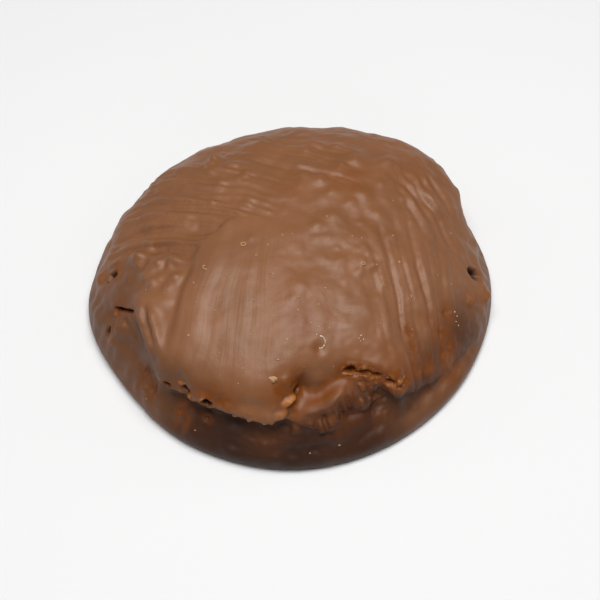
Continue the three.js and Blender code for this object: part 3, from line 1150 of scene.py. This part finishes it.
def shape_coat(mesh):
    """Gives the even mesh its brush strokes, lumps and crags, and the attributes that its material reads."""
    skin = Skin(mesh)
    zones = even_out(skin)
    lip, brush, clear = lay_coat(skin, zones)
    tints = cut_crags(skin)

    points = skin.points
    # The rust tint below also carries painted shade: in the hollows of the crag edge, in the valley and in a
    # dent.
    hollows = HOLLOW_TINT_AND_SHADE * hollow_share(skin) * lip * zones.front * zones.craggy
    stains_and_shade = np.maximum(valley_share(points, VALLEY_STAIN_AND_SHADE), zones.top * stain_and_shade_share(points))
    # Painted shade under the lip, in the dark colour of the holes.
    under = (1 - zones.top) * in_sector(points, UNDER_LIP) * below(points, UNDER_LIP_FALL)
    skin.attribute("rust", np.clip(tints["rust"] + hollows + stains_and_shade, 0, 1))
    skin.attribute("nut", tints["nut"])
    skin.attribute("dark", np.maximum(tints["dark"], UNDER_LIP_SHARE * under))
    # Painted shade on the side: under the edge, on the flanks, on the foot and on the lobe's face.
    skin.attribute("side", painted_shade_share(points, zones.top))
    skin.attribute("open", zones.top * above(points, DUST_RISE) * smooth_step(-points[:, 1], *DUST_FRONT))
    skin.attribute("bristle", clear * zones.top)
    skin.attribute("brush", brush)
    skin.store()


def new_material(name):
    """A material with an empty tree, and its Principled shader joined to the output."""
    material = bpy.data.materials.new(name)
    material.use_nodes = True
    nodes = material.node_tree.nodes
    nodes.clear()
    shader = nodes.new("ShaderNodeBsdfPrincipled")
    output = nodes.new("ShaderNodeOutputMaterial")
    material.node_tree.links.new(shader.outputs["BSDF"], output.inputs["Surface"])
    return material, shader


def add_node(tree, kind, inputs=(), **settings):
    """A node with its settings, and its inputs set to values or joined to other nodes' sockets."""
    node = tree.nodes.new(kind)
    for key, value in settings.items():
        setattr(node, key, value)
    for key, value in dict(inputs).items():
        if isinstance(value, bpy.types.NodeSocket):
            tree.links.new(value, node.inputs[key])
        else:
            node.inputs[key].default_value = value
    return node


def add_noise(tree, place, scale, detail=2.0):
    """A noise texture's factor, in waves of 1 / scale of the place's units."""
    node = add_node(tree, "ShaderNodeTexNoise", {"Vector": place, "Scale": scale, "Detail": detail})
    return node.outputs["Fac"]


def add_mix(tree, factor, first, second):
    """A colour between two others. The node's sockets for colours only go by number."""
    inputs = {0: factor, 6: first, 7: second}
    return add_node(tree, "ShaderNodeMix", inputs, data_type="RGBA").outputs[2]


def add_range(tree, value, low, high, new_low, new_high):
    """A number moved from one range into another."""
    inputs = {"Value": value, "From Min": low, "From Max": high, "To Min": new_low, "To Max": new_high}
    return add_node(tree, "ShaderNodeMapRange", inputs).outputs["Result"]


def add_attribute(tree, name, output="Fac"):
    """A mesh attribute's value."""
    return add_node(tree, "ShaderNodeAttribute", attribute_name=name).outputs[output]


def add_math(tree, operation, first, second):
    """A number worked out from two others."""
    return add_node(tree, "ShaderNodeMath", {0: first, 1: second}, operation=operation).outputs[0]


def add_bump(tree, height, strength, distance, normal=None):
    """The normal of a bumpy surface, on top of the bumps of another one where it is given."""
    inputs = {"Height": height, "Strength": strength, "Distance": distance}
    if normal is not None:
        inputs["Normal"] = normal
    return add_node(tree, "ShaderNodeBump", inputs).outputs["Normal"]


def add_place(tree):
    """Where a point lies in its piece, in metres."""
    return add_node(tree, "ShaderNodeTexCoord").outputs["Object"]


def opaque(colour):
    """A colour with full alpha."""
    return (*colour, 1.0)


def add_patches(tree, place, scale, colour, darkest):
    """A colour that varies in patches, down to a share of itself."""
    dark = [darkest * channel for channel in colour]
    return add_mix(tree, add_noise(tree, place, scale), opaque(dark), opaque(colour))


# The coat's clouds of two browns: scale and detail of the noise, and the range of it that makes the change.
CLOUDS = (110, 3)
CLOUD_RANGE = (0.35, 0.7)

# The coat's sheen: its patches, how rough they are, how much rougher the side is, and its strength. Cocoa
# butter reflects a little warm.
SHEEN_PATCHES = (260, 3)
SHEEN_RANGE = (0.3, 0.7)
ROUGHNESS = (0.42, 0.5)
SIDE_ROUGHER = 0.12
SHEEN_LEVEL = 0.36
SHEEN_TINT = (1.0, 0.93, 0.87)

# The finest bristle lines, drawn out along the strokes, and the coat's grain, with strength and depth.
BRISTLE_DRAWN = (0.05, 1.3, 1.0)
BRISTLE_BUMP = (0.6, 0.12 * MM)
GRAIN = (1500, 3)
GRAIN_BUMP = (0.5, 0.06 * MM)


def chocolate_material(settings):
    """Satin milk chocolate: cloudy browns, rusty crags, painted shade on the side and in holes, bristle
    lines and a fine grain.
    """
    material, shader = new_material("milk_chocolate")
    tree = material.node_tree
    place = add_place(tree)
    clouds = add_range(tree, add_noise(tree, place, *CLOUDS), *CLOUD_RANGE, 0, 1)
    colour = add_mix(tree, clouds, opaque(settings.chocolate), opaque(settings.deep))
    # The side and dark tints are painted shade. The rust tint carries some painted shade in the hollows and
    # the valley.
    tints = {"side": settings.side, "rust": settings.rust, "nut": settings.nut, "dark": settings.painted_dark_shade}
    for name, tint in tints.items():
        colour = add_mix(tree, add_attribute(tree, name), colour, opaque(tint))
    tree.links.new(colour, shader.inputs["Base Color"])
    rough = add_range(tree, add_noise(tree, place, *SHEEN_PATCHES), *SHEEN_RANGE, *ROUGHNESS)
    # The mask of the side's painted shade also makes the coat rougher there.
    rougher = add_range(tree, add_attribute(tree, "side"), 0, 1, 0, SIDE_ROUGHER)
    tree.links.new(add_math(tree, "ADD", rough, rougher), shader.inputs["Roughness"])
    shader.inputs["Specular IOR Level"].default_value = SHEEN_LEVEL
    shader.inputs["Specular Tint"].default_value = opaque(SHEEN_TINT)

    drawn = add_node(
        tree, "ShaderNodeMapping",
        {"Vector": add_attribute(tree, "brush", "Vector"), "Scale": BRISTLE_DRAWN},
    ).outputs["Vector"]
    bristles = add_math(tree, "MULTIPLY", add_noise(tree, drawn, 1.0), add_attribute(tree, "bristle"))
    lines = add_bump(tree, bristles, *BRISTLE_BUMP)
    grain = add_bump(tree, add_noise(tree, place, *GRAIN), *GRAIN_BUMP, lines)
    tree.links.new(grain, shader.inputs["Normal"])
    return material


# Crumbs and crystals: their patches, how dark these get, their grain with strength and depth, their sheen.
CRUMB_PATCHES = 900
CRUMB_DARKEST = 0.6
CRUMB_GRAIN = 3600
CRUMB_BUMP = (0.4, 0.05 * MM)
CRUMB_ROUGHNESS = 0.6
SUGAR_ROUGHNESS = 0.25


def crumb_material(name, colour, roughness):
    """A dry crumb or a crystal: a colour that varies from grain to grain, and a fine grain."""
    material, shader = new_material(name)
    tree = material.node_tree
    place = add_place(tree)
    varied = add_patches(tree, place, CRUMB_PATCHES, colour, CRUMB_DARKEST)
    tree.links.new(varied, shader.inputs["Base Color"])
    shader.inputs["Roughness"].default_value = roughness
    bumps = add_bump(tree, add_noise(tree, place, CRUMB_GRAIN), *CRUMB_BUMP)
    tree.links.new(bumps, shader.inputs["Normal"])
    return material


def new_strewing(name, sizes):
    """A Geometry Nodes tree with a geometry in and out and named inputs for its sizes, in metres."""
    tree = bpy.data.node_groups.new(name, "GeometryNodeTree")
    tree.interface.new_socket("Geometry", in_out="INPUT", socket_type="NodeSocketGeometry")
    for size in sizes:
        tree.interface.new_socket(size, in_out="INPUT", socket_type="NodeSocketFloat")
    tree.interface.new_socket("Seed", in_out="INPUT", socket_type="NodeSocketInt")
    tree.interface.new_socket("Geometry", in_out="OUTPUT", socket_type="NodeSocketGeometry")
    return tree, tree.nodes.new("NodeGroupInput").outputs


# How far grains are turned at random about each axis: all round, or lying flat.
FULL_TURN = (math.tau, math.tau, math.tau)
FLAT_TURN = (0.2, 0.2, math.tau)

# How far the sizes of the strewn things vary, up and down.
DUST_UNEVEN = 0.5
GRAIN_UNEVEN = 0.4
SQUARE_UNEVEN = 0.1
BUBBLE_UNEVEN = 0.2

# The square crumb: its sides by the setting, the points along them, and the scale and depth of its wear.
SQUARE_SIDES = (1.0, 0.85, 0.5)
SQUARE_POINTS = {"Vertices X": 4, "Vertices Y": 4, "Vertices Z": 3}
SQUARE_RUFFLE = 2200.0
SQUARE_WEAR = 0.3 * MM

# Corners of a bubble's ring, and of the thread that it is made of.
RING_CORNERS = 16
THREAD_CORNERS = 6


def finish_strewing(tree, points, seed, grain, turns, unevenness, material):
    """Puts a grain of uneven size and turn on each point, and makes them plain mesh."""
    turn = add_node(
        tree, "FunctionNodeRandomValue",
        {"Min": (0, 0, 0), "Max": turns, "Seed": seed}, data_type="FLOAT_VECTOR",
    ).outputs[0]
    least = 1 - unevenness
    most = 1 + unevenness
    scale = add_node(
        tree, "FunctionNodeRandomValue",
        {"Min": (least,) * 3, "Max": (most,) * 3, "Seed": seed}, data_type="FLOAT_VECTOR",
    ).outputs[0]
    placed = add_node(
        tree, "GeometryNodeInstanceOnPoints",
        {"Points": points, "Instance": grain, "Rotation": turn, "Scale": scale},
    )
    real = add_node(tree, "GeometryNodeRealizeInstances", {"Geometry": placed.outputs["Instances"]})
    finished = add_node(tree, "GeometryNodeSetMaterial", {"Geometry": real.outputs["Geometry"]})
    finished.inputs["Material"].default_value = material
    output = tree.nodes.new("NodeGroupOutput")
    tree.links.new(finished.outputs["Geometry"], output.inputs["Geometry"])


def round_grain(tree, radius):
    """A grain's shape: a ball of few faces."""
    return add_node(tree, "GeometryNodeMeshIcoSphere", {"Radius": radius, "Subdivisions": 1}).outputs["Mesh"]


def dust_tree(material):
    """The finest crumbs, at random on the open dome."""
    tree, inputs = new_strewing("crumb dust", ("Density", "Radius"))
    chance = add_node(tree, "GeometryNodeInputNamedAttribute", {"Name": "open"}, data_type="FLOAT")
    density = add_math(tree, "MULTIPLY", chance.outputs[0], inputs["Density"])
    strewn = add_node(
        tree, "GeometryNodeDistributePointsOnFaces",
        {"Mesh": inputs["Geometry"], "Density": density, "Seed": inputs["Seed"]},
    )
    grain = round_grain(tree, inputs["Radius"])
    finish_strewing(tree, strewn.outputs["Points"], inputs["Seed"], grain, FULL_TURN, DUST_UNEVEN, material)
    return tree


def grain_tree(name, material):
    """A round grain on each point of the mesh."""
    tree, inputs = new_strewing(name, ("Radius",))
    grain = round_grain(tree, inputs["Radius"])
    finish_strewing(tree, inputs["Geometry"], inputs["Seed"], grain, FULL_TURN, GRAIN_UNEVEN, material)
    return tree


def square_tree(material):
    """A flat, worn square crumb on each point of the mesh."""
    tree, inputs = new_strewing("square crumbs", ("Side",))
    sides = add_node(
        tree, "ShaderNodeVectorMath", {0: SQUARE_SIDES, "Scale": inputs["Side"]}, operation="SCALE",
    ).outputs["Vector"]
    block = add_node(tree, "GeometryNodeMeshCube", {"Size": sides, **SQUARE_POINTS}).outputs["Mesh"]
    ruffle = add_node(tree, "ShaderNodeTexNoise", {"Scale": SQUARE_RUFFLE}).outputs["Color"]
    centred = add_node(tree, "ShaderNodeVectorMath", {0: ruffle, 1: (0.5, 0.5, 0.5)}, operation="SUBTRACT")
    offset = add_node(
        tree, "ShaderNodeVectorMath",
        {0: centred.outputs["Vector"], "Scale": SQUARE_WEAR}, operation="SCALE",
    ).outputs["Vector"]
    worn = add_node(tree, "GeometryNodeSetPosition", {"Geometry": block, "Offset": offset})
    crumb = worn.outputs["Geometry"]
    finish_strewing(tree, inputs["Geometry"], inputs["Seed"], crumb, FLAT_TURN, SQUARE_UNEVEN, material)
    return tree


def bubble_tree(material):
    """The thin round rim of a burst bubble on each point of the mesh."""
    tree, inputs = new_strewing("burst bubbles", ("Radius", "Rim"))
    circle = "GeometryNodeCurvePrimitiveCircle"
    ring = add_node(tree, circle, {"Resolution": RING_CORNERS, "Radius": inputs["Radius"]})
    thread = add_node(tree, circle, {"Resolution": THREAD_CORNERS, "Radius": inputs["Rim"]})
    rim = add_node(
        tree, "GeometryNodeCurveToMesh",
        {"Curve": ring.outputs["Curve"], "Profile Curve": thread.outputs["Curve"]},
    ).outputs["Mesh"]
    finish_strewing(tree, inputs["Geometry"], inputs["Seed"], rim, FLAT_TURN, BUBBLE_UNEVEN, material)
    return tree


def strewn_piece(name, mesh, tree, values):
    """Runs a tree over a mesh and keeps the result as a plain piece of the object."""
    piece = link(bpy.data.objects.new(name, mesh))
    strewing = piece.modifiers.new("strewing", "NODES")
    strewing.node_group = tree
    for item in tree.interface.items_tree:
        if item.in_out == "INPUT" and item.name in values:
            strewing[item.identifier] = values[item.name]
    baked = baked_mesh(piece)
    piece.modifiers.remove(strewing)
    piece.data = baked
    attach(piece, BODY)


# Rays at the dome start this high above the floor, in metres.
RAY_HEIGHT = 1


def dome_points(name, places):
    """A mesh of loose points on the coat, at places in plan."""
    coat = bpy.data.objects[COAT]
    spots = []
    for x, y in places:
        found, spot, _, _ = coat.ray_cast(Vector((x * MM, y * MM, RAY_HEIGHT)), Vector((0, 0, -1)))
        if not found:
            raise RuntimeError(f"no coat below {x}, {y}")
        spots.append(spot)
    mesh = bpy.data.meshes.new(name)
    mesh.from_pydata(spots, [], [])
    return mesh


class LEBKUCHEN_OT_coat(bpy.types.Operator):
    """Lays the brushed chocolate coat, with its crags, over the solid"""

    bl_idname = "lebkuchen.coat"
    bl_label = "Coat"

    def execute(self, context):
        settings = context.scene.lebkuchen_coat
        mesh = even_mesh(settings.grain)
        thin_sole(mesh)
        refine_crags(mesh)
        shape_coat(mesh)
        mesh.name = COAT
        mesh.materials.clear()
        mesh.materials.append(chocolate_material(settings))
        mesh.shade_smooth()
        coat = link(bpy.data.objects.new(COAT, mesh))
        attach(coat, BODY)
        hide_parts(NODE)
        return {"FINISHED"}


class LEBKUCHEN_OT_crumbs(bpy.types.Operator):
    """Lays the nut specks and the square crumb on the coat, and strews crumb dust over the dome"""

    bl_idname = "lebkuchen.crumbs"
    bl_label = "Crumbs"

    def execute(self, context):
        settings = context.scene.lebkuchen_crumbs
        material = crumb_material("nut_crumb", settings.tan, CRUMB_ROUGHNESS)
        coat_mesh = bpy.data.objects[COAT].data
        strewn_piece(
            "crumb_dust", coat_mesh, dust_tree(material),
            {"Density": settings.density, "Radius": settings.dust, "Seed": SEED},
        )
        strewn_piece(
            "nut_specks", dome_points("speck_points", SPECK_PLACES), grain_tree("nut specks", material),
            {"Radius": settings.speck, "Seed": SEED},
        )
        strewn_piece(
            "square_crumb", dome_points("crumb_points", SQUARE_CRUMBS), square_tree(material),
            {"Side": settings.crumb, "Seed": SEED},
        )
        return {"FINISHED"}


class LEBKUCHEN_OT_bubbles(bpy.types.Operator):
    """Lays the rims of the burst bubbles on the coat, in the pale crumb colour as a painted highlight"""

    bl_idname = "lebkuchen.bubbles"
    bl_label = "Burst bubbles"

    def execute(self, context):
        settings = context.scene.lebkuchen_crumbs
        # The rims take the pale crumb colour: a painted highlight on the thin rim of chocolate.
        material = bpy.data.materials["nut_crumb"]
        strewn_piece(
            "bubble_rims", dome_points("bubble_points", BUBBLE_PLACES), bubble_tree(material),
            {"Radius": settings.bubble, "Rim": settings.rim, "Seed": SEED},
        )
        return {"FINISHED"}


class LEBKUCHEN_OT_sugar(bpy.types.Operator):
    """Lays the few sugar grains on the coat"""

    bl_idname = "lebkuchen.sugar"
    bl_label = "Sugar"

    def execute(self, context):
        settings = context.scene.lebkuchen_crumbs
        material = crumb_material("sugar_grain", settings.white, SUGAR_ROUGHNESS)
        (x, y), radius, first, last, count = SUGAR_ARC
        turns = np.radians(np.linspace(first, last, count))
        arc = zip(x + radius * np.cos(turns), y + radius * np.sin(turns))
        points = dome_points("sugar_points", (*SUGAR_PLACES, *arc))
        strewn_piece(
            "sugar_grains", points, grain_tree("sugar", material),
            {"Radius": settings.sugar, "Seed": SEED},
        )
        return {"FINISHED"}


# The floor: half its side in metres, its quads along a side, its patches and its finish.
FLOOR_HALF = 1.5
FLOOR_QUADS = 8
FLOOR_PATCHES = 8
FLOOR_DARKEST = 0.98
FLOOR_ROUGHNESS = 0.9
FLOOR_SHEEN = 0.1


def floor_material(colour):
    """A pale matt floor, a little uneven."""
    material, shader = new_material("pale_floor")
    tree = material.node_tree
    varied = add_patches(tree, add_place(tree), FLOOR_PATCHES, colour, FLOOR_DARKEST)
    tree.links.new(varied, shader.inputs["Base Color"])
    shader.inputs["Roughness"].default_value = FLOOR_ROUGHNESS
    shader.inputs["Specular IOR Level"].default_value = FLOOR_SHEEN
    return material


def lay_floor(settings):
    """Lays the floor that the lebkuchen lies on."""
    mesh = bpy.data.meshes.new("floor")
    work = bmesh.new()
    bmesh.ops.create_grid(work, x_segments=FLOOR_QUADS, y_segments=FLOOR_QUADS, size=FLOOR_HALF)
    work.to_mesh(mesh)
    work.free()
    mesh.materials.append(floor_material(settings.floor))
    floor = link(bpy.data.objects.new("floor", mesh))
    floor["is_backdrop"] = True


class Softbox(NamedTuple):
    """An area light that faces the lebkuchen: its place, its sides and the setting of its power."""

    name: str
    place: tuple
    sides: tuple
    power: str


SOFTBOXES = (
    Softbox("softbox", (0.02, -0.03, 0.6), (0.46, 0.28), "softbox"),
    Softbox("left_softbox", (-0.5, 0.1, 0.3), (0.35, 0.35), "sidebox"),
    Softbox("right_softbox", (0.5, 0.1, 0.3), (0.35, 0.35), "sidebox"),
    Softbox("front_softbox", (0, -0.55, 0.3), (0.5, 0.25), "frontbox"),
)


def set_lights(scene, settings):
    """Puts up the softboxes and the white surround."""
    for softbox in SOFTBOXES:
        light = bpy.data.lights.new(softbox.name, "AREA")
        light.shape = "RECTANGLE"
        light.size, light.size_y = softbox.sides
        light.energy = getattr(settings, softbox.power)
        box = link(bpy.data.objects.new(softbox.name, light))
        box.location = softbox.place
        box.rotation_euler = (Vector() - Vector(softbox.place)).to_track_quat("-Z", "Y").to_euler()
    world = bpy.data.worlds.new("surround")
    world.use_nodes = True
    background = world.node_tree.nodes["Background"].inputs
    background["Strength"].default_value = settings.surround
    background["Color"].default_value = (1, 1, 1, 1)
    scene.world = world
    scene.view_settings.view_transform = "Standard"


# The nearest thing that the camera sees, in metres.
CLIP_START = 0.01


def set_camera(scene, settings):
    """Sets the camera in front of the lebkuchen, tilted down at it."""
    camera = bpy.data.cameras.new("camera")
    camera.lens = settings.lens
    camera.clip_start = CLIP_START
    viewer = link(bpy.data.objects.new("camera", camera))
    tilt = settings.elevation
    back = Vector((0, -math.cos(tilt), math.sin(tilt)))
    viewer.location = Vector(settings.aim) + back * settings.distance
    viewer.rotation_euler = (math.pi / 2 - tilt, 0, 0)
    scene.camera = viewer


class LEBKUCHEN_OT_stage(bpy.types.Operator):
    """Sets the floor, the lights and the camera"""

    bl_idname = "lebkuchen.stage"
    bl_label = "Stage"

    def execute(self, context):
        settings = context.scene.lebkuchen_stage
        lay_floor(settings)
        set_lights(context.scene, settings)
        set_camera(context.scene, settings)
        return {"FINISHED"}


STEPS = (
    LEBKUCHEN_OT_coat,
    LEBKUCHEN_OT_crumbs,
    LEBKUCHEN_OT_bubbles,
    LEBKUCHEN_OT_sugar,
    LEBKUCHEN_OT_stage,
)
SETTINGS = {
    "lebkuchen_coat": CoatSettings,
    "lebkuchen_crumbs": CrumbSettings,
    "lebkuchen_stage": StageSettings,
}


class LEBKUCHEN_PT_panel(bpy.types.Panel):
    """Lists the steps and their settings"""

    bl_idname = "LEBKUCHEN_PT_panel"
    bl_label = "Lebkuchen"
    bl_space_type = "VIEW_3D"
    bl_region_type = "UI"
    bl_category = "Lebkuchen"

    def draw(self, context):
        for step in STEPS:
            self.layout.operator(step.bl_idname)
        for key, group in SETTINGS.items():
            box = self.layout.box()
            box.label(text=group.__doc__)
            for name in group.__annotations__:
                box.prop(getattr(context.scene, key), name)


CLASSES = (*SETTINGS.values(), *STEPS, LEBKUCHEN_PT_panel)


def register():
    """Makes the settings, the steps and the panel known to Blender."""
    for cls in CLASSES:
        bpy.utils.register_class(cls)
    for key, group in SETTINGS.items():
        setattr(bpy.types.Scene, key, bpy.props.PointerProperty(type=group))


def unregister():
    """Takes the panel, the steps and the settings out of Blender again."""
    for key in SETTINGS:
        delattr(bpy.types.Scene, key)
    for cls in reversed(CLASSES):
        bpy.utils.unregister_class(cls)


def main():
    """Builds every piece in order and works out the solid's box and the dressed object's box."""
    register()
    bpy.ops.lebkuchen.coat()
    bpy.ops.lebkuchen.crumbs()
    bpy.ops.lebkuchen.bubbles()
    bpy.ops.lebkuchen.sugar()
    bpy.ops.lebkuchen.stage()
    boxes = {"cad": CAD_BOX, "visual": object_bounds()}
    {key: [list(corner) for corner in box] for key, box in boxes.items()}


if __name__ == "__main__":
    main()
